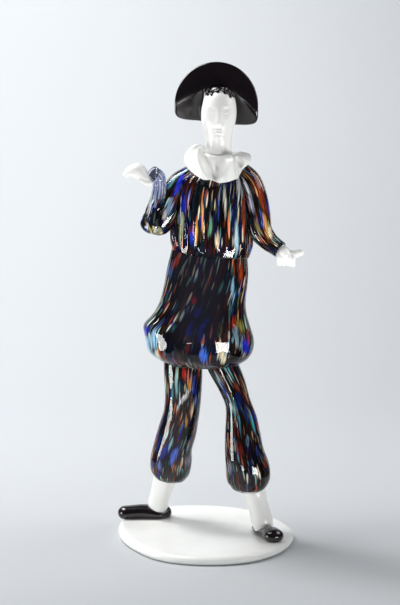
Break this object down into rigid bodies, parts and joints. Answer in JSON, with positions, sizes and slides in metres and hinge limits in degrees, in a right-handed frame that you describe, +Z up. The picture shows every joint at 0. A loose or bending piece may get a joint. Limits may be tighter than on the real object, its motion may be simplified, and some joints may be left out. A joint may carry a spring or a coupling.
{
  "type": "glass carnival figurine",
  "caption": "Glass figurine of a striding carnival masker in streaked cased glass, with a wavy white ruff and a black cocked hat, on a round white disc base.",
  "frame": {"origin": "middle of the disc base's flat underside", "axes": "+Z up, towards the hat; the figure faces -Y and its raised arm points to -X"},
  "size_m": [0.1445, 0.1425, 0.3735],
  "materials": {
    "white_glass": "opaque white glass, fire polished",
    "black_glass": "opaque black glass, fire polished",
    "streaked_glass": "streaks of many colours on black under a clear glossy casing"
  },
  "bodies": {
    "root": {"base": "white_glass", "rear_shin": "white_glass", "front_shin": "white_glass", "rear_shoe": "black_glass", "front_shoe": "black_glass", "rear_breeches": "streaked_glass", "front_breeches": "streaked_glass", "tunic_skirt": "streaked_glass", "bodice": "streaked_glass", "raised_sleeve": "streaked_glass", "lowered_sleeve": "streaked_glass", "raised_hand": "white_glass", "lowered_hand": "white_glass", "ruff": "white_glass", "head": "white_glass", "curls": "black_glass", "hat": "black_glass"}
  },
  "joints": []
}
